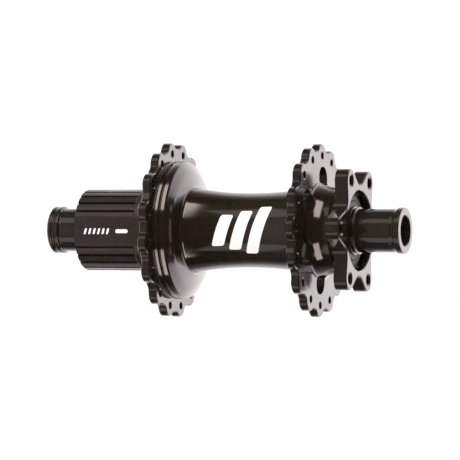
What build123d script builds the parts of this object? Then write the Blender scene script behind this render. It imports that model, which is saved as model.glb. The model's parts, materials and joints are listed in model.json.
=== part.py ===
from build123d import *
import math
import os

# Rear bicycle hub: 148 mm wide, 12 mm through axle, six-bolt rotor mount, fine-spline cassette body.
# Millimetres. X runs along the axle towards the rotor side, Z is up, -Y is the way the wheel rolls.
# The origin is on the axle, half way between the two end faces.

# ---- axle and end caps ----
OVER_LOCKNUT = 148.0                # end face to end face
END_X = OVER_LOCKNUT / 2
BORE_R = 6.05                       # clears a 12 mm through axle
BORE_CHAMFER = 0.35
AXLE_END_X = 69.0
AXLE_STUB_R = 7.5                   # 15 mm seats
AXLE_SEAT_R = 8.5                   # 17 mm seats
AXLE_MID_R = 9.5
CAP_SOCKET_R = 7.55
CAP_TUBE_R = 8.6
LEFT_LIP_R = 9.4
LEFT_LIP_GROOVE_R = 9.05
RIGHT_LIP_R = 9.15
RIGHT_LIP_GROOVE_R = 8.2
DUST_RING_R = 11.6                  # ring of the drive-side cap over the freehub's mouth
CAP_NOSE_R = 9.6                    # seat of the rubber dust seal on the rotor-side cap
DUST_SEAL_R = 14.3
SPACER_R = 8.6
SPACER_BORE_R = AXLE_STUB_R + 0.05
ORING_X = 65.5
ORING_WIDTH = 1.1
ORING_GROOVE_R = 6.9

# ---- bearings ----
BIG_BEARING = {"bore_r": 8.5, "outer_r": 15.0, "width": 7.0, "ball_r": 1.98, "balls": 11,
               "inner_land": 10.4, "outer_land": 13.1, "cage_half": 2.45, "seal_thick": 0.6}
SMALL_BEARING = {"bore_r": 7.5, "outer_r": 12.0, "width": 5.0, "ball_r": 1.19, "balls": 18,
                 "inner_land": 9.1, "outer_land": 10.4, "cage_half": 1.6, "seal_thick": 0.4}
BALL_CLEARANCE = 0.03               # between a ball and each race groove
CAGE_HALF_THICK = 0.42
CAGE_POCKET_GAP = 0.06
SEAL_GAP = 0.1                      # seal lip to inner race
SEAL_INSET = 0.05
RACE_EDGE = 0.3
DISC_BEARING_X = 44.0               # inboard face of each bearing's seat, smaller X first
DRIVE_BEARING_X = -18.0
FREEHUB_IN_X = -26.8
FREEHUB_OUT_X = -57.7
AXLE_STEP_X = DRIVE_BEARING_X - 1.0  # shoulder that stops the inner spacer

# ---- hub shell ----
SHELL_TURN = -2.0                   # degrees about +X: how the wheel parts stand at rest
BOSS_R = 20.3                       # housing of the ratchet
BOSS_END_X = -30.0
RATCHET_SEAT_R = 19.2
RATCHET_SEAT_X = -20.2
SHELL_BORE_R = 13.0
FLANGE_THICK = 3.5
SPOKE_COUNT = 16
SPOKE_HOLE_R = 1.3
SPOKE_SINK_R = 1.75
DRIVE_FLANGE_X = -25.15             # outboard face
DRIVE_SPOKE_R = 30.5
DRIVE_LOBE_R = 4.4
DRIVE_VALLEY_R = 32.3
DRIVE_FIRST_HOLE = 180.0 / SPOKE_COUNT
DISC_FLANGE_X = 35.7                # inboard face
DISC_SPOKE_R = 29.4
DISC_LOBE_R = 4.7
DISC_VALLEY_R = 31.4
DISC_FIRST_HOLE = 0.0
VALLEY_FILLET = 2.6
MOUNT_VALLEY_FILLET = 5.0
RIM_EDGE = 0.4
WINDOW_COUNT = 6                    # lightening windows in the rotor-side flange
WINDOW_FIRST = -2.0                 # degrees from the first disc-side spoke hole
WINDOW_HEIGHTS = (17.7, 25.15)      # inner and outer end, from the axle
WINDOW_HALVES = (4.6, 5.0)          # half width at each end
WINDOW_CORNERS = (2.0, 4.4)
BARREL_WAIST_X = 9.0
BARREL_WAIST_R = 14.8
BARREL_LEFT_X = -12.6
BARREL_LEFT_R = 16.83
BARREL_RIGHT_R = 16.9
BELL_RING_R = 27.3                  # two slightly conical beads between the drive flange and the dome
BELL_BEAD_X = -19.9                 # outer edge of the first bead's cone
BELL_GROOVE_X = -19.15
BELL_GROOVE_R = 26.4
BELL_DOME_X = -16.8
BELL_DOME_R = 26.85
BELL_BASE_X = -13.65
BELL_BASE_R = 17.03

# ---- rotor mount ----
ROTOR_FACE_X = 55.2
ROTOR_MOUNT_THICK = 5.3
ROTOR_BOLT_R = 22.0                 # 44 mm bolt circle
ROTOR_BOLT_COUNT = 6
ROTOR_HOLE_R = 2.1                  # tapping size of M5
ROTOR_SINK_R = 2.8
ROTOR_LOBE_R = 4.7
ROTOR_WEB_R = 13.0
ROTOR_RECESS_R = 15.8
NECK_R = 17.0

# ---- freehub ----
FREEHUB_TURN = 88.6                 # degrees about +X from the top to the middle of the wide land
SPLINE_R = 16.15
SPLINE_FLOOR_R = 15.1
SPLINE_LEFT_X = -59.3
SPLINE_RIGHT_X = -34.6
SPLINE_GROOVES = 23
WIDE_LAND_HALF = 25.8               # degrees, middle of the wide land to its first groove
FLAT_HALF = 18.2                    # degrees, half of the flat on the wide land
GROOVE_TOP = 1.35
GROOVE_FLOOR = 0.95
COLLAR_R = 17.0
COLLAR_END_X = -30.5
NECK_SEAL_R = 16.6
CARRIER_R = 16.2
CARRIER_X = (-28.75, -20.8)
FREEHUB_BORE_R = 10.5
CIRCLIP_GROOVE = (-58.6, -57.75)
CIRCLIP_GROOVE_R = 12.6
CIRCLIP_INNER_R = 11.2
CIRCLIP_LUG_R = 0.85
CIRCLIP_LUG_ANGLES = (166, 194)     # degrees from the top

# ---- ratchet ----
TEETH = 60
TOOTH_TIP_R = 16.6
TOOTH_ROOT_R = 17.6
RING_LEFT_X = -28.6
PAWLS = 6
PAWL_X = (-27.8, -21.8)
PAWL_SIDE_GAP = 0.1
PIVOT_R = 14.5
HEEL_R = 1.5
HEEL_GAP = 0.05
TIP_R = 16.15
TIP_ANGLE = 32.0                    # degrees from the pivot, folded
NOSE_DEPTH = 2.0                    # end face of the pawl, square to its arm
PAWL_BACK = (15.3, 24.5)            # radius and angle of the hollow in the pawl's back
TOOTH_GAP_ANGLE = 0.5
POCKET_FLOOR_R = 12.85
WELL_END = 37.5                     # degrees from the pivot
SPRING_THICK = 0.25
SPRING_WIDTH = 2.0
SPRING_SPAN = (9.0, 30.0)


def polar(radius, degrees):
    """Point across the axle: degrees count from the top, the way the wheel rolls."""
    angle = math.radians(degrees)
    return (radius * math.sin(angle), radius * math.cos(angle))


def across(x):
    """Sketch plane square to the axle at x; its first axis points forwards (-Y), its second up."""
    return Plane(origin=(x, 0, 0), x_dir=(0, -1, 0), z_dir=(-1, 0, 0))


def slab(sketch, left_x, right_x):
    """Solid of a sketch drawn across the axle, from left_x to right_x."""
    return extrude(across(left_x) * sketch, amount=-(right_x - left_x))


def rounded_loop(corners):
    """Closed face in XY through (x, y, radius) corners, each rounded by its own radius."""
    runs = []
    arcs = []
    for index, (x, y, radius) in enumerate(corners):
        here = Vector(x, y)
        before = Vector(*corners[index - 1][:2]) - here
        after = Vector(*corners[(index + 1) % len(corners)][:2]) - here
        if radius == 0:
            runs.append((here, here))
            continue
        half = math.radians(before.get_angle(after)) / 2
        reach = radius / math.tan(half)
        start = here + before.normalized() * reach
        end = here + after.normalized() * reach
        centre = here + (before.normalized() + after.normalized()).normalized() * (radius / math.sin(half))
        arcs.append(ThreePointArc(start, centre + (here - centre).normalized() * radius, end))
        runs.append((start, end))
    lines = []
    for index, (start, _) in enumerate(runs):
        previous_end = runs[index - 1][1]
        if (start - previous_end).length > 1e-6:
            lines.append(Line(previous_end, start))
    return make_face(Curve() + lines + arcs)


def turned(corners):
    """Solid of revolution about the axle from (x, radius, rounding) corners."""
    return revolve(rounded_loop(corners), Axis.X)


def ring(left_x, right_x, inner_r, outer_r, edge=0.0):
    """Plain ring about the axle with its outer edges chamfered or rounded by edge."""
    return turned([(left_x, inner_r, 0), (left_x, outer_r, edge),
                   (right_x, outer_r, edge), (right_x, inner_r, 0)])


def around(solid, count, first=0.0):
    """Copies of a solid spaced evenly about the axle."""
    return [Rot(X=first + 360.0 / count * index) * solid for index in range(count)]


def save(node, *solids):
    """Write one node, a single solid or a group of separate solids."""
    whole = solids[0] if len(solids) == 1 else Compound(children=list(solids))
    export_step(whole, os.path.join("parts", node + ".step"))


# ---------------------------------------------------------------- axle
def axle():
    half_groove = ORING_WIDTH / 2
    drive_seat_end = DRIVE_BEARING_X + BIG_BEARING["width"]
    disc_seat_end = DISC_BEARING_X + BIG_BEARING["width"]
    corners = [(-AXLE_END_X, BORE_R, 0), (-AXLE_END_X, AXLE_STUB_R, 0.4)]
    corners += [(-ORING_X - half_groove, AXLE_STUB_R, 0), (-ORING_X - half_groove, ORING_GROOVE_R, 0)]
    corners += [(-ORING_X + half_groove, ORING_GROOVE_R, 0), (-ORING_X + half_groove, AXLE_STUB_R, 0)]
    corners += [(AXLE_STEP_X, AXLE_STUB_R, 0), (AXLE_STEP_X, AXLE_SEAT_R, 0.3)]
    corners += [(drive_seat_end, AXLE_SEAT_R, 0), (drive_seat_end, AXLE_MID_R, 0.3)]
    corners += [(DISC_BEARING_X, AXLE_MID_R, 0.3), (DISC_BEARING_X, AXLE_SEAT_R, 0)]
    corners += [(disc_seat_end, AXLE_SEAT_R, 0.3), (disc_seat_end, AXLE_STUB_R, 0)]
    corners += [(ORING_X - half_groove, AXLE_STUB_R, 0), (ORING_X - half_groove, ORING_GROOVE_R, 0)]
    corners += [(ORING_X + half_groove, ORING_GROOVE_R, 0), (ORING_X + half_groove, AXLE_STUB_R, 0)]
    corners += [(AXLE_END_X, AXLE_STUB_R, 0.4), (AXLE_END_X, BORE_R, 0)]
    return turned(corners)


def cap_oring(side):
    middle = side * ORING_X
    half = ORING_WIDTH / 2 - 0.05
    outer_r = CAP_SOCKET_R - 0.01
    return turned([(middle - half, ORING_GROOVE_R, 0.2), (middle - half, outer_r, 0.25),
                   (middle + half, outer_r, 0.25), (middle + half, ORING_GROOVE_R, 0.2)])


def drive_end_cap():
    """Cap with two lips at its end, a dust ring outside the freehub and a nose against its bearing."""
    shoulder_x = -AXLE_END_X - 0.05
    ring_right_x = SPLINE_LEFT_X - 0.2
    ring_left_x = ring_right_x - 0.8
    nose_r = 9.3
    corners = [(-END_X, BORE_R + BORE_CHAMFER, 0), (-END_X, CAP_TUBE_R, 0.4), (-73.2, LEFT_LIP_R, 0.4)]
    corners += [(-72.3, LEFT_LIP_R, 0.3), (-71.8, LEFT_LIP_GROOVE_R, 0.2), (-71.2, LEFT_LIP_GROOVE_R, 0.2)]
    corners += [(-70.7, LEFT_LIP_R, 0.3), (-69.4, LEFT_LIP_R, 0.4), (-68.9, CAP_TUBE_R, 0.3)]
    corners += [(ring_left_x, CAP_TUBE_R, 0.5), (ring_left_x, DUST_RING_R, 0.3)]
    corners += [(ring_right_x, DUST_RING_R, 0), (ring_right_x, nose_r, 0)]
    corners += [(FREEHUB_OUT_X, nose_r, 0), (FREEHUB_OUT_X, CAP_SOCKET_R, 0)]
    corners += [(shoulder_x, CAP_SOCKET_R, 0), (shoulder_x, BORE_R, 0), (-END_X + BORE_CHAMFER, BORE_R, 0)]
    return turned(corners)


def disc_end_cap():
    """Cap with a grooved lip at its end, a bead and a nose that carries the dust seal."""
    shoulder_x = AXLE_END_X + 0.05
    left_x = DISC_BEARING_X + BIG_BEARING["width"]
    bead_r = 9.35
    corners = [(left_x, CAP_SOCKET_R, 0), (left_x, CAP_NOSE_R, 0), (left_x + 2.6, CAP_NOSE_R, 0.3)]
    corners += [(left_x + 3.0, CAP_TUBE_R, 0.2), (left_x + 3.4, CAP_TUBE_R, 0.1), (left_x + 3.6, bead_r, 0.2)]
    corners += [(left_x + 4.1, bead_r, 0.2), (left_x + 4.3, CAP_TUBE_R, 0.2), (70.0, CAP_TUBE_R, 0.2)]
    corners += [(70.2, RIGHT_LIP_GROOVE_R, 0.15), (71.2, RIGHT_LIP_GROOVE_R, 0.15)]
    corners += [(71.6, RIGHT_LIP_R, 0.35), (END_X, RIGHT_LIP_R, 0.35), (END_X, BORE_R + BORE_CHAMFER, 0)]
    corners += [(END_X - BORE_CHAMFER, BORE_R, 0), (shoulder_x, BORE_R, 0), (shoulder_x, CAP_SOCKET_R, 0)]
    return turned(corners)


def disc_dust_seal():
    """Rubber ring on the rotor-side cap that covers the shell bearing, with two shallow ribs."""
    left_x = DISC_BEARING_X + BIG_BEARING["width"] + 0.4
    corners = [(left_x, CAP_NOSE_R, 0), (left_x, DUST_SEAL_R, 0.2), (left_x + 0.7, DUST_SEAL_R, 0.3)]
    corners += [(left_x + 0.9, 13.2, 0.3), (left_x + 0.6, 12.7, 0.2), (left_x + 0.6, 11.9, 0.2)]
    corners += [(left_x + 1.1, 11.4, 0.3), (left_x + 1.3, CAP_NOSE_R, 0)]
    return turned(corners)


def freehub_spacer():
    return ring(FREEHUB_OUT_X + SMALL_BEARING["width"], FREEHUB_IN_X, SPACER_BORE_R, SPACER_R, 0.2)


def axle_spacer():
    return ring(FREEHUB_IN_X + SMALL_BEARING["width"], AXLE_STEP_X, SPACER_BORE_R, SPACER_R, 0.2)


# ---------------------------------------------------------------- bearings
def pitch_radius(bearing):
    return (bearing["inner_land"] + bearing["outer_land"]) / 2


def ball_track(bearing, middle_x):
    """Torus that leaves the ball its running clearance in both races."""
    track = Torus(pitch_radius(bearing), bearing["ball_r"] + BALL_CLEARANCE)
    return Pos(middle_x, 0, 0) * Rot(Y=90) * track


def outer_race(bearing, left_x):
    blank = ring(left_x, left_x + bearing["width"], bearing["outer_land"], bearing["outer_r"], RACE_EDGE)
    return blank - ball_track(bearing, left_x + bearing["width"] / 2)


def inner_race(bearing, left_x):
    right_x = left_x + bearing["width"]
    blank = turned([(left_x, bearing["bore_r"], RACE_EDGE), (left_x, bearing["inner_land"], 0),
                    (right_x, bearing["inner_land"], 0), (right_x, bearing["bore_r"], RACE_EDGE)])
    return blank - ball_track(bearing, left_x + bearing["width"] / 2)


def balls(bearing, left_x):
    middle_x = left_x + bearing["width"] / 2
    ball = Pos(middle_x, 0, pitch_radius(bearing)) * Sphere(bearing["ball_r"])
    return around(ball, bearing["balls"])


def cage(bearing, left_x):
    middle_x = left_x + bearing["width"] / 2
    pitch = pitch_radius(bearing)
    half = bearing["cage_half"]
    blank = ring(middle_x - half, middle_x + half, pitch - CAGE_HALF_THICK, pitch + CAGE_HALF_THICK)
    pocket = Pos(middle_x, 0, pitch) * Sphere(bearing["ball_r"] + CAGE_POCKET_GAP)
    return blank - around(pocket, bearing["balls"])


def bearing_seals(bearing, left_x):
    """The two rubber-faced shields of one bearing."""
    inner_r = bearing["inner_land"] + SEAL_GAP
    outer_r = bearing["outer_land"]
    thick = bearing["seal_thick"]
    right_x = left_x + bearing["width"]
    left = ring(left_x + SEAL_INSET, left_x + SEAL_INSET + thick, inner_r, outer_r)
    right = ring(right_x - SEAL_INSET - thick, right_x - SEAL_INSET, inner_r, outer_r)
    return [left, right]


# ---------------------------------------------------------------- hub shell
def lobed_outline(hole_ring_r, lobe_r, valley_r, first_hole):
    """Scalloped outline of a spoke flange: one lobe round each spoke hole."""
    outline = Circle(valley_r)
    for index in range(SPOKE_COUNT):
        outline += Pos(*polar(hole_ring_r, first_hole + 360.0 / SPOKE_COUNT * index)) * Circle(lobe_r)
    inward = [corner for corner in outline.vertices() if Vector(corner).length < valley_r + 0.2]
    return fillet(inward, VALLEY_FILLET)


def rotor_outline():
    """Six lobes joined by straight flanks that meet in V-shaped valleys."""
    outline = Circle(ROTOR_WEB_R)
    for index in range(ROTOR_BOLT_COUNT):
        centre = polar(ROTOR_BOLT_R, 30.0 + 360.0 / ROTOR_BOLT_COUNT * index)
        tips = Circle(ROTOR_WEB_R).edges() + (Pos(*centre) * Circle(ROTOR_LOBE_R)).edges()
        outline += make_hull(tips)
    valley_r = min(Vector(corner).length for corner in outline.vertices())
    inward = [corner for corner in outline.vertices() if Vector(corner).length < valley_r + 0.3]
    return fillet(inward, MOUNT_VALLEY_FILLET)


def scallop_cutter(outline, left_x, right_x, outer_r):
    return slab(Circle(outer_r) - outline, left_x, right_x)


def sunk_hole(hole_ring_r, degrees, hole_r, sink_r, left_x, right_x):
    """Round hole along X with a 45-degree countersink at both faces."""
    depth = sink_r - hole_r
    over = 0.5
    corners = [(left_x - over, 0, 0), (left_x - over, sink_r + over, 0), (left_x + depth, hole_r, 0)]
    corners += [(right_x - depth, hole_r, 0), (right_x + over, sink_r + over, 0), (right_x + over, 0, 0)]
    drill = revolve(rounded_loop(corners), Axis.X)
    return Rot(X=degrees) * Pos(0, 0, hole_ring_r) * drill


def window_cutter():
    """Egg-shaped window through the rotor-side flange, at the top."""
    inner, outer = WINDOW_HEIGHTS
    inner_half, outer_half = WINDOW_HALVES
    inner_corner, outer_corner = WINDOW_CORNERS
    corners = [(-inner_half, inner, inner_corner), (-outer_half, outer, outer_corner)]
    corners += [(outer_half, outer, outer_corner), (inner_half, inner, inner_corner)]
    return slab(rounded_loop(corners), DISC_FLANGE_X - 0.5, DISC_FLANGE_X + 8.0)


def barrel():
    """Waisted tube between the two flanges, level at its waist."""
    waist = (BARREL_WAIST_X, BARREL_WAIST_R)
    left = (BARREL_LEFT_X, BARREL_LEFT_R)
    right = (DISC_FLANGE_X, BARREL_RIGHT_R)
    left_curve = TangentArc(waist, left, tangent=(-1, 0))
    right_curve = TangentArc(waist, right, tangent=(1, 0))
    floor_line = Polyline(left, (left[0], 0), (right[0], 0), right)
    return revolve(make_face(Curve() + [left_curve, right_curve, floor_line]), Axis.X)


def shell_blank():
    """Turned blank of the shell: boss, flange discs, bell, barrel, neck and rotor disc."""
    drive_tip = DRIVE_SPOKE_R + DRIVE_LOBE_R + 0.2
    disc_tip = DISC_SPOKE_R + DISC_LOBE_R + 0.2
    mount_tip = ROTOR_BOLT_R + ROTOR_LOBE_R + 0.2
    face_x = DRIVE_FLANGE_X + FLANGE_THICK
    disc_right_x = DISC_FLANGE_X + FLANGE_THICK
    mount_left_x = ROTOR_FACE_X - ROTOR_MOUNT_THICK
    boss = [(BOSS_END_X, 0, 0), (BOSS_END_X, BOSS_R, 0.5), (DRIVE_FLANGE_X, BOSS_R, 1.0)]
    boss += [(DRIVE_FLANGE_X, drive_tip, 0), (face_x, drive_tip, 0)]
    bell = [(face_x, BELL_RING_R - 0.8, 0.3), (face_x + 0.45, BELL_RING_R, 0.4)]
    bell += [(BELL_BEAD_X, BELL_RING_R - 0.3, 0.8), (BELL_GROOVE_X, BELL_GROOVE_R, 0.2)]
    bell += [(BELL_GROOVE_X + 0.4, BELL_RING_R, 0.3), (BELL_DOME_X, BELL_DOME_R, 1.1)]
    bell += [(BELL_DOME_X + 1.85, 23.4, 9.0), (BELL_BASE_X, BELL_BASE_R, 1.2)]
    bell += [(BARREL_LEFT_X, BARREL_LEFT_R, 0), (BARREL_LEFT_X, 0, 0)]
    left = revolve(rounded_loop(boss + bell), Axis.X)
    neck = [(DISC_FLANGE_X - 2.0, 0, 0), (DISC_FLANGE_X - 2.0, BARREL_RIGHT_R - 0.15, 0)]
    neck += [(DISC_FLANGE_X, BARREL_RIGHT_R, 1.5), (DISC_FLANGE_X, disc_tip, 0), (disc_right_x, disc_tip, 0)]
    neck += [(disc_right_x, 27.0, 20.0), (disc_right_x + 0.3, NECK_R + 1.9, 1.8)]
    neck += [(disc_right_x + 3.8, NECK_R, 11.0), (mount_left_x, NECK_R, 2.5)]
    neck += [(mount_left_x, mount_tip, 0), (ROTOR_FACE_X, mount_tip, 0)]
    neck += [(ROTOR_FACE_X, 0, 0)]
    right = revolve(rounded_loop(neck), Axis.X)
    return left + barrel() + right


def shell_bore():
    """Everything turned out of the middle of the shell."""
    drive_seat_end = DRIVE_BEARING_X + BIG_BEARING["width"]
    disc_seat_end = DISC_BEARING_X + BIG_BEARING["width"] + 0.2
    seat_r = BIG_BEARING["outer_r"]
    mouth = 1.3
    corners = [(BOSS_END_X - 1, 0, 0), (BOSS_END_X - 1, RATCHET_SEAT_R, 0)]
    corners += [(RATCHET_SEAT_X, RATCHET_SEAT_R, 0), (RATCHET_SEAT_X, seat_r, 0)]
    corners += [(drive_seat_end, seat_r, 0), (drive_seat_end, SHELL_BORE_R, 0)]
    corners += [(DISC_BEARING_X, SHELL_BORE_R, 0), (DISC_BEARING_X, seat_r, 0), (disc_seat_end, seat_r, 0)]
    corners += [(disc_seat_end, ROTOR_RECESS_R, 0), (ROTOR_FACE_X - 0.3, ROTOR_RECESS_R, 0)]
    corners += [(ROTOR_FACE_X - 0.3 + mouth, ROTOR_RECESS_R + mouth, 0), (ROTOR_FACE_X - 0.3 + mouth, 0, 0)]
    return revolve(rounded_loop(corners), Axis.X)


def rim_edges(shell, face_x, inner_r):
    """Edges of the scalloped rim that lie in one flange face."""
    found = []
    for edge in shell.edges():
        box = edge.bounding_box()
        middle = edge @ 0.5
        flat = abs(box.min.X - face_x) < 1e-3 and abs(box.max.X - face_x) < 1e-3
        if flat and math.hypot(middle.Y, middle.Z) > inner_r:
            found.append(edge)
    return found


def hub_shell():
    drive_right_x = DRIVE_FLANGE_X + FLANGE_THICK
    disc_right_x = DISC_FLANGE_X + FLANGE_THICK
    mount_left_x = ROTOR_FACE_X - ROTOR_MOUNT_THICK
    drive_outline = lobed_outline(DRIVE_SPOKE_R, DRIVE_LOBE_R, DRIVE_VALLEY_R, DRIVE_FIRST_HOLE)
    disc_outline = lobed_outline(DISC_SPOKE_R, DISC_LOBE_R, DISC_VALLEY_R, DISC_FIRST_HOLE)
    shell = shell_blank()
    shell -= scallop_cutter(drive_outline, DRIVE_FLANGE_X - 0.5, drive_right_x + 0.5, 40.0)
    shell -= scallop_cutter(disc_outline, DISC_FLANGE_X - 0.5, disc_right_x + 0.5, 40.0)
    shell -= scallop_cutter(rotor_outline(), mount_left_x - 3.5, ROTOR_FACE_X + 0.5, 30.0)
    shell = chamfer(rim_edges(shell, DRIVE_FLANGE_X, DRIVE_VALLEY_R - 0.5), RIM_EDGE)
    shell = chamfer(rim_edges(shell, drive_right_x, DRIVE_VALLEY_R - 0.5), RIM_EDGE)
    shell = chamfer(rim_edges(shell, DISC_FLANGE_X, DISC_VALLEY_R - 0.5), RIM_EDGE)
    shell = chamfer(rim_edges(shell, disc_right_x, DISC_VALLEY_R - 0.5), RIM_EDGE)
    shell = chamfer(rim_edges(shell, ROTOR_FACE_X, NECK_R), RIM_EDGE)
    shell -= shell_bore()
    step = 360.0 / SPOKE_COUNT
    holes = []
    for index in range(SPOKE_COUNT):
        turn = step * index
        holes.append(sunk_hole(DRIVE_SPOKE_R, DRIVE_FIRST_HOLE + turn, SPOKE_HOLE_R, SPOKE_SINK_R,
                               DRIVE_FLANGE_X, drive_right_x))
        holes.append(sunk_hole(DISC_SPOKE_R, DISC_FIRST_HOLE + turn, SPOKE_HOLE_R, SPOKE_SINK_R,
                               DISC_FLANGE_X, disc_right_x))
    for index in range(ROTOR_BOLT_COUNT):
        turn = 30.0 + 360.0 / ROTOR_BOLT_COUNT * index
        holes.append(sunk_hole(ROTOR_BOLT_R, turn, ROTOR_HOLE_R, ROTOR_SINK_R, mount_left_x, ROTOR_FACE_X))
    shell -= holes
    shell -= around(window_cutter(), WINDOW_COUNT, WINDOW_FIRST)
    return Rot(X=SHELL_TURN) * shell


def swept_angle(radius):
    """Angle from its pivot at which the tip of a rising pawl crosses a radius."""
    tip = polar(TIP_R, TIP_ANGLE)
    arm = math.hypot(tip[0], tip[1] - PIVOT_R)
    cosine = (PIVOT_R ** 2 + radius ** 2 - arm ** 2) / (2 * PIVOT_R * radius)
    return math.degrees(math.acos(cosine))


def drive_ring():
    """Ring of inward saw teeth pressed into the shell; each steep face stands square to a raised pawl."""
    root_angle = swept_angle(TOOTH_ROOT_R) + TOOTH_GAP_ANGLE
    tip_angle = swept_angle(TOOTH_TIP_R) + TOOTH_GAP_ANGLE
    pitch = 360.0 / TEETH
    points = []
    for index in range(TEETH):
        points.append(polar(TOOTH_ROOT_R, root_angle + pitch * index))
        points.append(polar(TOOTH_TIP_R, tip_angle + pitch * index))
    teeth = make_face(Polyline(*points, close=True))
    return slab(Circle(RATCHET_SEAT_R) - teeth, RING_LEFT_X, RATCHET_SEAT_X)


def hub_seal():
    """Rubber lip seal in the mouth of the boss."""
    left_x = BOSS_END_X + 0.1
    right_x = RING_LEFT_X - 0.1
    lip_r = NECK_SEAL_R + 0.15
    return turned([(left_x, 17.2, 0.1), (left_x, RATCHET_SEAT_R, 0), (right_x, RATCHET_SEAT_R, 0),
                   (right_x, 18.2, 0.1), (left_x + 0.6, 18.0, 0.1), (left_x + 0.6, lip_r, 0.1),
                   (left_x + 0.2, lip_r, 0.1)])


# ---------------------------------------------------------------- freehub
def spline_cutter():
    """One groove between two ribs, at the top."""
    depth_over = 0.6
    slope = (GROOVE_TOP - GROOVE_FLOOR) / 2 / (SPLINE_R - SPLINE_FLOOR_R)
    top_half = GROOVE_TOP / 2 + slope * depth_over
    points = [(-GROOVE_FLOOR / 2, SPLINE_FLOOR_R), (GROOVE_FLOOR / 2, SPLINE_FLOOR_R)]
    points += [(top_half, SPLINE_R + depth_over), (-top_half, SPLINE_R + depth_over)]
    return slab(make_face(Polyline(*points, close=True)), SPLINE_LEFT_X - 1, SPLINE_RIGHT_X)


def pocket_outline():
    """Pocket for one pawl: round socket for its heel and an open well for its arm."""
    open_r = 18.5
    well = [polar(POCKET_FLOOR_R, 0.0), polar(POCKET_FLOOR_R, 14.0), polar(POCKET_FLOOR_R, 24.0),
            polar(POCKET_FLOOR_R, WELL_END), polar(open_r, WELL_END), polar(open_r, 14.0),
            polar(open_r, -3.0), polar(PIVOT_R, -3.0), polar(PIVOT_R, 0.0)]
    return make_face(Polyline(*well, close=True)) + Pos(0, PIVOT_R) * Circle(HEEL_R + HEEL_GAP)


def freehub_blank():
    """Turned blank of the freehub: splined barrel, collar, seal land and pawl carrier."""
    seat_r = SMALL_BEARING["outer_r"]
    out_seat_end = FREEHUB_OUT_X + SMALL_BEARING["width"]
    corners = [(SPLINE_LEFT_X, seat_r, 0), (SPLINE_LEFT_X, SPLINE_R, 0.3), (SPLINE_RIGHT_X, SPLINE_R, 0)]
    corners += [(SPLINE_RIGHT_X + 0.6, COLLAR_R, 0.3), (COLLAR_END_X, COLLAR_R, 0.4)]
    corners += [(COLLAR_END_X, NECK_SEAL_R, 0), (CARRIER_X[0], NECK_SEAL_R, 0), (CARRIER_X[0], CARRIER_R, 0)]
    corners += [(CARRIER_X[1], CARRIER_R, 0.3), (CARRIER_X[1], seat_r, 0), (FREEHUB_IN_X, seat_r, 0)]
    corners += [(FREEHUB_IN_X, FREEHUB_BORE_R, 0), (out_seat_end, FREEHUB_BORE_R, 0)]
    corners += [(out_seat_end, seat_r, 0)]
    corners += [(CIRCLIP_GROOVE[1], seat_r, 0), (CIRCLIP_GROOVE[1], CIRCLIP_GROOVE_R, 0)]
    corners += [(CIRCLIP_GROOVE[0], CIRCLIP_GROOVE_R, 0), (CIRCLIP_GROOVE[0], seat_r, 0)]
    return turned(corners)


def freehub_body():
    groove = spline_cutter()
    step = (360.0 - 2 * WIDE_LAND_HALF) / (SPLINE_GROOVES - 1)
    grooves = [Rot(X=WIDE_LAND_HALF + step * index) * groove for index in range(SPLINE_GROOVES)]
    body = freehub_blank() - grooves
    flat_r = SPLINE_R * math.cos(math.radians(FLAT_HALF))
    flat_length = SPLINE_RIGHT_X - SPLINE_LEFT_X + 1.0
    flat_middle_x = SPLINE_RIGHT_X - flat_length / 2
    upward = (Align.CENTER, Align.CENTER, Align.MIN)
    body -= Pos(flat_middle_x, 0, flat_r) * Box(flat_length, 14.0, 4.0, align=upward)
    body = Rot(X=FREEHUB_TURN) * body
    pocket = slab(pocket_outline(), PAWL_X[0] - PAWL_SIDE_GAP, PAWL_X[1] + PAWL_SIDE_GAP)
    return body - around(pocket, PAWLS)


def freehub_circlip():
    """Open snap ring with two lugs that keeps the outboard bearing in."""
    clip = Circle(CIRCLIP_GROOVE_R - 0.05) - Circle(CIRCLIP_INNER_R)
    for angle in CIRCLIP_LUG_ANGLES:
        clip += Pos(*polar(CIRCLIP_INNER_R, angle)) * Circle(CIRCLIP_LUG_R)
    gap_reach = 16.0
    start, end = CIRCLIP_LUG_ANGLES
    clip -= make_face(Polyline((0, 0), polar(gap_reach, start + 5), polar(gap_reach, end - 5), close=True))
    for angle in CIRCLIP_LUG_ANGLES:
        clip -= Pos(*polar(CIRCLIP_INNER_R, angle)) * Circle(CIRCLIP_LUG_R - 0.5)
    return slab(clip, CIRCLIP_GROOVE[0] + 0.05, CIRCLIP_GROOVE[1] - 0.05)


def pawl():
    """One ratchet pawl, folded, with its pivot at the top of the carrier."""
    tip = Vector(*polar(TIP_R, TIP_ANGLE))
    along = (tip - Vector(0, PIVOT_R)).normalized()
    nose = tip + Vector(along.Y, -along.X) * NOSE_DEPTH
    arm = [(0, PIVOT_R + HEEL_R - 0.05), polar(*PAWL_BACK), tip, nose, (0, PIVOT_R - HEEL_R + 0.05)]
    outline = make_face(Polyline(*arm, close=True)) + Pos(0, PIVOT_R) * Circle(HEEL_R)
    solid = slab(outline, *PAWL_X)
    middle_x = sum(PAWL_X) / 2
    relief_r = POCKET_FLOOR_R + 2 * SPRING_THICK
    half = SPRING_WIDTH / 2 + 0.2
    return solid - ring(middle_x - half, middle_x + half, POCKET_FLOOR_R - 2, relief_r)


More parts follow.
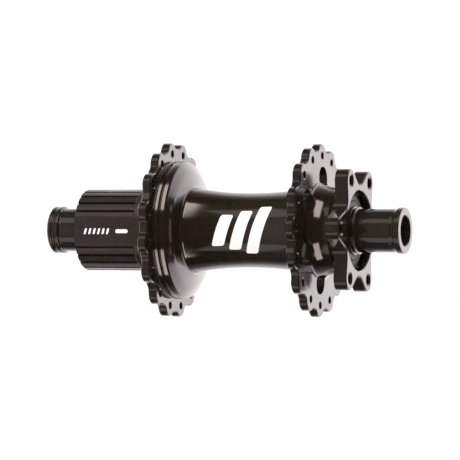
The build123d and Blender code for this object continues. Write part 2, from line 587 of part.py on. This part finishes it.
def pawl_spring():
    """Leaf under one pawl, pressed flat on the pocket floor while the pawl is folded."""
    low_r = POCKET_FLOOR_R + 0.02
    high_r = low_r + SPRING_THICK
    middle = sum(SPRING_SPAN) / 2
    start, end = SPRING_SPAN
    edges = [ThreePointArc(polar(low_r, start), polar(low_r, middle), polar(low_r, end)),
             Line(polar(low_r, end), polar(high_r, end)),
             ThreePointArc(polar(high_r, end), polar(high_r, middle), polar(high_r, start)),
             Line(polar(high_r, start), polar(low_r, start))]
    middle_x = sum(PAWL_X) / 2
    return slab(make_face(Curve() + edges), middle_x - SPRING_WIDTH / 2, middle_x + SPRING_WIDTH / 2)


def save_bearing(name, bearing, left_x):
    save(name + "_outer_race", outer_race(bearing, left_x))
    save(name + "_inner_race", inner_race(bearing, left_x))
    save(name + "_balls", *balls(bearing, left_x))
    save(name + "_cage", cage(bearing, left_x))
    save(name + "_seals", *bearing_seals(bearing, left_x))


def main():
    os.makedirs("parts", exist_ok=True)
    save("axle", axle())
    save("drive_end_cap", drive_end_cap())
    save("disc_end_cap", disc_end_cap())
    save("disc_dust_seal", disc_dust_seal())
    save("drive_cap_oring", cap_oring(-1))
    save("disc_cap_oring", cap_oring(1))
    save("freehub_spacer", freehub_spacer())
    save("axle_spacer", axle_spacer())
    save("hub_shell", hub_shell())
    save("drive_ring", drive_ring())
    save("hub_seal", hub_seal())
    save("freehub_body", freehub_body())
    save("freehub_circlip", freehub_circlip())
    for index, one in enumerate(around(pawl(), PAWLS)):
        save("pawl_%d" % (index + 1), one)
    save("pawl_springs", *around(pawl_spring(), PAWLS))
    save_bearing("disc_bearing", BIG_BEARING, DISC_BEARING_X)
    save_bearing("shell_drive_bearing", BIG_BEARING, DRIVE_BEARING_X)
    save_bearing("freehub_inner_bearing", SMALL_BEARING, FREEHUB_IN_X)
    save_bearing("freehub_outer_bearing", SMALL_BEARING, FREEHUB_OUT_X)


main()
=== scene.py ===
import json
import math

import bpy
from mathutils import Matrix, Vector
from mathutils.bvhtree import BVHTree


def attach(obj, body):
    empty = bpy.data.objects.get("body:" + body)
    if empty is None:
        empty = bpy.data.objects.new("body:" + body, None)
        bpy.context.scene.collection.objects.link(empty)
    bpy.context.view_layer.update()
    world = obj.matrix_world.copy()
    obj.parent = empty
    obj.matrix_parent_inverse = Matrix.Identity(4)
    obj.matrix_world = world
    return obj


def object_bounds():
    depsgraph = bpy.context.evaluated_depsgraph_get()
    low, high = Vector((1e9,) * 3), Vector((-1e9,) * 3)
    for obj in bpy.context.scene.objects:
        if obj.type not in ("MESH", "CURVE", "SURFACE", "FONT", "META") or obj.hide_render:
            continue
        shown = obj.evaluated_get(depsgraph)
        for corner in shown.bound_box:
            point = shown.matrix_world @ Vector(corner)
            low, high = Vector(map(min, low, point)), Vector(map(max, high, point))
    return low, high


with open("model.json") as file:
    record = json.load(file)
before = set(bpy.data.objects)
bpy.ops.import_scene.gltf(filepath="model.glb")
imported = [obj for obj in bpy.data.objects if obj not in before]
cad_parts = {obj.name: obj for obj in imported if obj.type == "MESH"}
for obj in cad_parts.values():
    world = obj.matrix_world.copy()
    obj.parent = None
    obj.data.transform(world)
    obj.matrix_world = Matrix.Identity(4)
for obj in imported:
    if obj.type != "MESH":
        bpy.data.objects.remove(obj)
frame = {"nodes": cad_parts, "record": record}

cad_box = [list(corner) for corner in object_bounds()]
nodes = frame["nodes"]
MM = 0.001


# ---------------------------------------------------------------- node helpers
class Shader:
    """A material under construction: makes nodes and links them in one call."""

    def __init__(self, name):
        self.material = bpy.data.materials.new(name)
        self.material.use_nodes = True
        self.tree = self.material.node_tree
        self.tree.nodes.clear()
        self.surface = self.add("ShaderNodeBsdfPrincipled")
        output = self.add("ShaderNodeOutputMaterial")
        self.tree.links.new(self.surface.outputs["BSDF"], output.inputs["Surface"])
        self.position = self.add("ShaderNodeTexCoord").outputs["Object"]

    def add(self, kind, **settings):
        node = self.tree.nodes.new(kind)
        for key, value in settings.items():
            setattr(node, key, value)
        return node

    def feed(self, socket, value):
        if isinstance(value, bpy.types.NodeSocket):
            self.tree.links.new(value, socket)
        else:
            socket.default_value = value

    def math(self, operation, a, b=0.0):
        node = self.add("ShaderNodeMath", operation=operation)
        for socket, value in zip(node.inputs, (a, b)):
            self.feed(socket, value)
        return node.outputs[0]

    def spread(self, value, low, high, to_low, to_high):
        """Value stretched from low..high to to_low..to_high, clamped at both ends."""
        node = self.add("ShaderNodeMapRange")
        for socket, number in zip(node.inputs, (value, low, high, to_low, to_high)):
            self.feed(socket, number)
        return node.outputs[0]

    def noise(self, scale, detail=3.0, roughness=0.55):
        """Noise with features of about 1/scale metres."""
        node = self.add("ShaderNodeTexNoise")
        self.feed(node.inputs["Vector"], self.position)
        node.inputs["Scale"].default_value = scale
        node.inputs["Detail"].default_value = detail
        node.inputs["Roughness"].default_value = roughness
        return node.outputs["Fac"]

    def colours(self, factor, *stops):
        """Colour ramp through (place, (r, g, b)) stops."""
        ramp = self.add("ShaderNodeValToRGB")
        while len(ramp.color_ramp.elements) < len(stops):
            ramp.color_ramp.elements.new(0.5)
        for element, (place, colour) in zip(ramp.color_ramp.elements, stops):
            element.position = place
            element.color = (*colour, 1)
        self.feed(ramp.inputs["Fac"], factor)
        return ramp.outputs["Color"]

    def turning(self):
        """X plus radius: constant along a lathe tool's path on faces and on cylinders alike."""
        split = self.add("ShaderNodeSeparateXYZ")
        self.feed(split.inputs[0], self.position)
        across = self.math("ADD", self.math("POWER", split.outputs["Y"], 2.0),
                           self.math("POWER", split.outputs["Z"], 2.0))
        return self.math("ADD", split.outputs["X"], self.math("SQRT", across))

    def bump(self, height, depth, normal=None):
        """Bump of a 0..1 height, depth metres deep."""
        node = self.add("ShaderNodeBump")
        node.inputs["Strength"].default_value = 1.0
        node.inputs["Distance"].default_value = depth
        self.feed(node.inputs["Height"], height)
        if normal is not None:
            self.feed(node.inputs["Normal"], normal)
        return node.outputs["Normal"]

    def rounded(self, radius):
        """Normal that rounds every sharp edge by radius."""
        node = self.add("ShaderNodeBevel", samples=4)
        node.inputs["Radius"].default_value = radius
        return node.outputs["Normal"]

    def finish(self, colour, roughness, metallic=0.0, ior=1.5, normal=None):
        sockets = self.surface.inputs
        self.feed(sockets["Base Color"], colour)
        self.feed(sockets["Roughness"], roughness)
        sockets["Metallic"].default_value = metallic
        sockets["IOR"].default_value = ior
        if normal is not None:
            self.feed(sockets["Normal"], normal)
        return self.material


# ---------------------------------------------------------------- materials
def anodised(name, dark, light, roughness, line_pitch, line_depth, edge):
    """Black anodised aluminium: faint lathe lines, cloudy dye, slightly uneven gloss."""
    s = Shader(name)
    lines = s.math("SINE", s.math("MULTIPLY", s.turning(), 2 * math.pi / line_pitch))
    patches = s.noise(90, detail=4)
    grain = s.noise(2600, detail=2, roughness=0.6)
    strength = s.spread(patches, 0.35, 0.7, 0.25, 1.0)
    height = s.math("ADD", s.math("MULTIPLY", lines, strength), s.math("MULTIPLY", grain, 0.8))
    normal = s.bump(height, line_depth, s.rounded(edge))
    cloud = s.noise(260, detail=5, roughness=0.65)
    colour = s.colours(cloud, (0.3, dark), (0.7, light))
    gloss = s.math("ADD", s.spread(patches, 0.3, 0.7, roughness * 0.8, roughness * 1.25),
                   s.spread(grain, 0.3, 0.7, -0.02, 0.02))
    return s.finish(colour, gloss, ior=1.52, normal=normal)


def bare_metal(name, colour, dull, roughness):
    """Turned or ground bare metal with fine lines and faint stains."""
    line_pitch, line_depth, edge = 0.3 * MM, 2e-7, 0.08 * MM
    s = Shader(name)
    lines = s.math("SINE", s.math("MULTIPLY", s.turning(), 2 * math.pi / line_pitch))
    stain = s.noise(180, detail=5)
    shade = s.colours(stain, (0.35, dull), (0.65, colour))
    gloss = s.spread(stain, 0.3, 0.7, roughness * 1.3, roughness * 0.8)
    normal = s.bump(lines, line_depth, s.rounded(edge))
    return s.finish(shade, gloss, metallic=1.0, normal=normal)


def rubber():
    """Black seal rubber with a fine grain and a trace of dust."""
    s = Shader("seal_rubber")
    grain = s.noise(3500, detail=4, roughness=0.7)
    dust = s.noise(400, detail=5)
    colour = s.colours(dust, (0.35, (0.012, 0.012, 0.013)), (0.75, (0.028, 0.027, 0.027)))
    normal = s.bump(grain, 6e-6, s.rounded(0.1 * MM))
    return s.finish(colour, s.spread(dust, 0.3, 0.7, 0.5, 0.66), normal=normal)


def nylon():
    """Cream nylon with a faint cloud."""
    s = Shader("cage_nylon")
    cloud = s.noise(300, detail=4)
    colour = s.colours(cloud, (0.3, (0.60, 0.54, 0.41)), (0.7, (0.72, 0.67, 0.54)))
    normal = s.bump(s.noise(2000), 3e-6)
    return s.finish(colour, s.spread(cloud, 0.3, 0.7, 0.42, 0.52), normal=normal)


def laser_white():
    """White laser mark: a faintly uneven matt white with tiny burnt specks."""
    s = Shader("laser_white")
    cloud = s.noise(700, detail=4)
    specks = s.noise(5200, detail=2, roughness=0.8)
    base = s.math("MULTIPLY", s.spread(cloud, 0.3, 0.7, 0.93, 1.0), s.spread(specks, 0.24, 0.34, 0.85, 1.0))
    colour = s.colours(base, (0.7, (0.56, 0.54, 0.51)), (1.0, (0.77, 0.745, 0.715)))
    normal = s.bump(specks, 2e-6)
    return s.finish(colour, s.spread(cloud, 0.3, 0.7, 0.42, 0.55), normal=normal)


FINISHES = {
    "shell_alloy": anodised("shell_alloy", (0.0070, 0.0052, 0.0028), (0.0115, 0.0088, 0.0052),
                            0.12, 0.45 * MM, 2.5e-7, 0.12 * MM),
    "cap_alloy": anodised("cap_alloy", (0.0085, 0.0065, 0.0048), (0.0130, 0.0102, 0.0078),
                          0.11, 0.3 * MM, 2.5e-7, 0.1 * MM),
    "freehub_alloy": anodised("freehub_alloy", (0.0115, 0.0080, 0.0062), (0.0185, 0.0132, 0.0105),
                              0.30, 0.4 * MM, 8e-7, 0.12 * MM),
    "axle_alloy": bare_metal("axle_alloy", (0.66, 0.67, 0.69), (0.55, 0.56, 0.58), 0.25),
    "tool_steel": bare_metal("tool_steel", (0.44, 0.44, 0.45), (0.34, 0.34, 0.35), 0.3),
    "bearing_steel": bare_metal("bearing_steel", (0.70, 0.70, 0.71), (0.60, 0.60, 0.62), 0.16),
    "spring_steel": bare_metal("spring_steel", (0.30, 0.30, 0.33), (0.20, 0.20, 0.24), 0.28),
    "cage_nylon": nylon(),
    "seal_rubber": rubber(),
    "laser_white": laser_white(),
}


def dress_cad_nodes():
    """Give every CAD node the finish of its material slot."""
    for part in frame["record"]["subparts"]:
        mesh = nodes[part["node"]].data
        mesh.materials.clear()
        mesh.materials.append(FINISHES[part["material_slot"]])


# ---------------------------------------------------------------- laser marks
MARK_PROUD = 0.04 * MM
MARK_SUNK = 0.05 * MM
MARK_COLUMNS = 8            # quads across one bar
MARK_STEPS = 20             # quads along its straight sides
CORNER_STEPS = 4            # quads round each of its corners
RAY_START = 60 * MM         # radius from which points are dropped on the hub
SHARP_EDGE = math.radians(30)


def bar_rows(half_width, half_height, corner, slant, along):
    """Rows of (x, up) points that fill an upright rounded bar at x = along, leaning by slant."""
    arc = [math.radians(90 * step / CORNER_STEPS) for step in range(CORNER_STEPS + 1)]
    straight = half_height - corner
    levels = [(straight + corner * math.cos(a), half_width - corner + corner * math.sin(a)) for a in arc]
    middle = [(straight * (1 - 2 * step / MARK_STEPS), half_width) for step in range(1, MARK_STEPS)]
    levels += middle + [(-up, half) for up, half in reversed(levels)]
    columns = [2 * column / MARK_COLUMNS - 1 for column in range(MARK_COLUMNS + 1)]
    return [[(half * share + slant * up + along, up) for share in columns] for up, half in levels]


def drop(tree, x, angle):
    """Place where the radius at this angle round the axle meets the surface, and the way out there."""
    out = Vector((0, -math.cos(angle), math.sin(angle)))
    return tree.ray_cast(Vector((x, 0, 0)) + out * RAY_START, -out)[0], out


def mark(name, host, body, centre_x, centre_angle, bars):
    """One thin mark laid on the front of host: every point of its bars is dropped on the surface."""
    world = host.matrix_world
    tree = BVHTree.FromPolygons([world @ vertex.co for vertex in host.data.vertices],
                                [list(face.vertices) for face in host.data.polygons])
    middle = drop(tree, centre_x, centre_angle)[0]
    radius = math.hypot(middle.y, middle.z)
    verts, faces = [], []
    for rows in bars:
        first = len(verts)
        wide, tall = len(rows[0]), len(rows)
        count = wide * tall
        for lift in (MARK_PROUD, -MARK_SUNK):
            for row in rows:
                for along, up in row:
                    place, out = drop(tree, centre_x + along, centre_angle + up / radius)
                    verts.append(place + out * lift)
        for r in range(tall - 1):
            for c in range(wide - 1):
                a = first + r * wide + c
                faces.append((a, a + wide, a + wide + 1, a + 1))
                faces.append((a + count, a + count + 1, a + count + wide + 1, a + count + wide))
        rim = list(range(wide))
        rim += [r * wide + wide - 1 for r in range(1, tall)]
        rim += [(tall - 1) * wide + c for c in range(wide - 2, -1, -1)]
        rim += [r * wide for r in range(tall - 2, 0, -1)]
        for here, there in zip(rim, rim[1:] + rim[:1]):
            faces.append((first + here, first + there, first + count + there, first + count + here))
    shape = bpy.data.meshes.new(name)
    shape.from_pydata(verts, [], faces)
    shape.shade_smooth()
    shape.set_sharp_from_angle(angle=SHARP_EDGE)
    shape.materials.append(FINISHES["laser_white"])
    piece = bpy.data.objects.new(name, shape)
    bpy.context.scene.collection.objects.link(piece)
    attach(piece, body)


def shell_emblem():
    """Plain emblem: three leaning rounded bars of growing height."""
    bars = [bar_rows(2.5 * MM, height * MM, 0.9 * MM, 0.32, along * MM)
            for along, height in ((-7.4, 6.2), (0.0, 7.9), (7.4, 9.6))]
    mark("shell_emblem", nodes["hub_shell"], "wheel_shell", 10.3 * MM, 0.0, bars)


def freehub_marks():
    """Row of six short strokes and one long dash on the freehub's front land."""
    first, pitch = -11.02 * MM, 1.9 * MM
    strokes = [bar_rows(0.42 * MM, 1.15 * MM, 0.3 * MM, 0.25, first + pitch * step) for step in range(6)]
    strokes.append(bar_rows(2.6 * MM, 0.75 * MM, 0.7 * MM, 0.0, 4.4 * MM))
    mark("freehub_marks", nodes["freehub_body"], "freehub", -43.6 * MM, -0.03, strokes)


# ---------------------------------------------------------------- stage, light and camera
FLOOR_DROP = 0.080          # floor below the object's lowest point
FLOOR_RADIUS = 6.0
FLOOR_SIDES = 64
FLOOR_RINGS = 6
SURROUND = 1.25             # radiance of the white room, as seen and as it lights the floor
CAMERA_TURN = math.radians(20.3)
CAMERA_DISTANCE = 1.8
CAMERA_LENS = 355.8
CAMERA_ROLL = math.radians(-0.13)
AIM = Vector((0.93 * MM, 0, 0.12 * MM))
LAMP_TINT = (1.0, 0.86, 0.80)
LAMP_DISTANCE = 2.2


def floor():
    """Round pale floor well below the hub; it lights the hub but leaves no mirror image in it."""
    low = cad_box[0][2] - FLOOR_DROP
    verts = [(0, 0, low)]
    for ring in range(1, FLOOR_RINGS + 1):
        radius = FLOOR_RADIUS * (ring / FLOOR_RINGS) ** 2
        for side in range(FLOOR_SIDES):
            angle = 2 * math.pi * side / FLOOR_SIDES
            verts.append((radius * math.cos(angle), radius * math.sin(angle), low))
    faces = [(0, 1 + side, 1 + (side + 1) % FLOOR_SIDES) for side in range(FLOOR_SIDES)]
    for ring in range(FLOOR_RINGS - 1):
        inner = 1 + ring * FLOOR_SIDES
        outer = inner + FLOOR_SIDES
        for side in range(FLOOR_SIDES):
            other = (side + 1) % FLOOR_SIDES
            faces.append((inner + side, outer + side, outer + other, inner + other))
    mesh = bpy.data.meshes.new("studio_floor")
    mesh.from_pydata(verts, [], faces)
    disc = bpy.data.objects.new("studio_floor", mesh)
    bpy.context.scene.collection.objects.link(disc)
    s = Shader("pale_floor")
    mottle = s.noise(3.0, detail=2)
    colour = s.colours(mottle, (0.3, (0.84, 0.84, 0.84)), (0.7, (0.86, 0.86, 0.86)))
    mesh.materials.append(s.finish(colour, 0.7))
    disc.visible_glossy = False


def studio_world():
    """White surround; in reflections, a bright backdrop behind the hub and a dark room in front."""
    world = bpy.data.worlds.new("studio_world")
    bpy.context.scene.world = world
    world.cycles.sampling_method = "NONE"
    world.use_nodes = True
    tree = world.node_tree
    tree.nodes.clear()

    def add(kind, *inputs, **settings):
        node = tree.nodes.new(kind)
        for key, value in settings.items():
            setattr(node, key, value)
        for socket, value in zip(node.inputs, inputs):
            if isinstance(value, bpy.types.NodeSocket):
                tree.links.new(value, socket)
            else:
                socket.default_value = value
        return node.outputs[0]

    def step(value, low, high, start=0.0, end=1.0):
        return add("ShaderNodeMapRange", value, low, high, start, end, interpolation_type="SMOOTHSTEP")

    def times(one, other):
        return add("ShaderNodeMath", one, other, operation="MULTIPLY")

    def plus(one, other):
        return add("ShaderNodeMath", one, other, operation="ADD")

    coordinates = tree.nodes.new("ShaderNodeTexCoord").outputs["Generated"]
    split = tree.nodes.new("ShaderNodeSeparateXYZ")
    tree.links.new(coordinates, split.inputs[0])
    x, y, z = split.outputs
    level = add("ShaderNodeMath", z, operation="ABSOLUTE")
    behind = step(y, 0.12, 0.5)
    backdrop = times(times(behind, step(level, 0.62, 0.88, 1.0, 0.18)), step(x, -0.25, 0.25, 1.7, 3.1))
    room = times(step(x, -0.16, -0.5, 0.05, 0.6), step(level, 0.2, 0.9, 1.0, 0.3))
    reflected = plus(backdrop, times(room, step(y, 0.3, 0.0)))
    path = tree.nodes.new("ShaderNodeLightPath")
    extra = times(path.outputs["Is Glossy Ray"], plus(reflected, -SURROUND))
    strength = plus(extra, SURROUND)
    tint = tree.nodes.new("ShaderNodeBackground")
    tint.inputs["Color"].default_value = (1.0, 0.925, 0.94, 1)
    tree.links.new(strength, tint.inputs["Strength"])
    output = tree.nodes.new("ShaderNodeOutputWorld")
    tree.links.new(tint.outputs[0], output.inputs["Surface"])


def softbox(name, round_axle, along, half_arc, half_along, radiance):
    """Soft light aimed at the hub, placed by the angle it stands at round the axle (0 is in front,
    90 is overhead) and by how far along +X it lies; sizes are shares of its distance."""
    angle = math.radians(round_axle)
    side = math.sqrt(1 - along * along)
    spot = Vector((along, -side * math.cos(angle), side * math.sin(angle)))
    data = bpy.data.lights.new(name, "AREA")
    data.shape = "RECTANGLE"
    data.size = 2 * LAMP_DISTANCE * half_along
    data.size_y = 2 * LAMP_DISTANCE * math.tan(math.radians(half_arc))
    data.energy = radiance * math.pi * data.size * data.size_y
    data.color = LAMP_TINT
    lamp = bpy.data.objects.new(name, data)
    lamp.location = spot * LAMP_DISTANCE
    lamp.rotation_euler = (-spot).to_track_quat("-Z", "Y").to_euler()
    bpy.context.scene.collection.objects.link(lamp)


def place_camera():
    """Level long-lens camera on the rotor side of square, tilted a hair round its own view."""
    data = bpy.data.cameras.new("camera")
    data.lens = CAMERA_LENS
    data.clip_start, data.clip_end = 0.05, 40
    camera = bpy.data.objects.new("camera", data)
    back = Vector((math.sin(CAMERA_TURN), -math.cos(CAMERA_TURN), 0))
    camera.location = AIM + back * CAMERA_DISTANCE
    roll = Matrix.Rotation(CAMERA_ROLL, 4, "Y")
    camera.matrix_world = (Matrix.Translation(camera.location) @ Matrix.Rotation(CAMERA_TURN, 4, "Z")
                           @ roll @ Matrix.Rotation(math.pi / 2, 4, "X"))
    bpy.context.scene.collection.objects.link(camera)
    bpy.context.scene.camera = camera


dress_cad_nodes()
shell_emblem()
freehub_marks()
place_camera()
floor()
studio_world()
softbox("upper_key", 57, 0.105, 23, 0.195, 9)
softbox("lower_key", -56, 0.13, 23, 0.17, 9)
softbox("upper_fill", 53, -0.40, 12, 0.19, 1.2)
softbox("lower_fill", -53, -0.34, 11, 0.20, 1.2)
bpy.context.scene.view_settings.view_transform = "Standard"
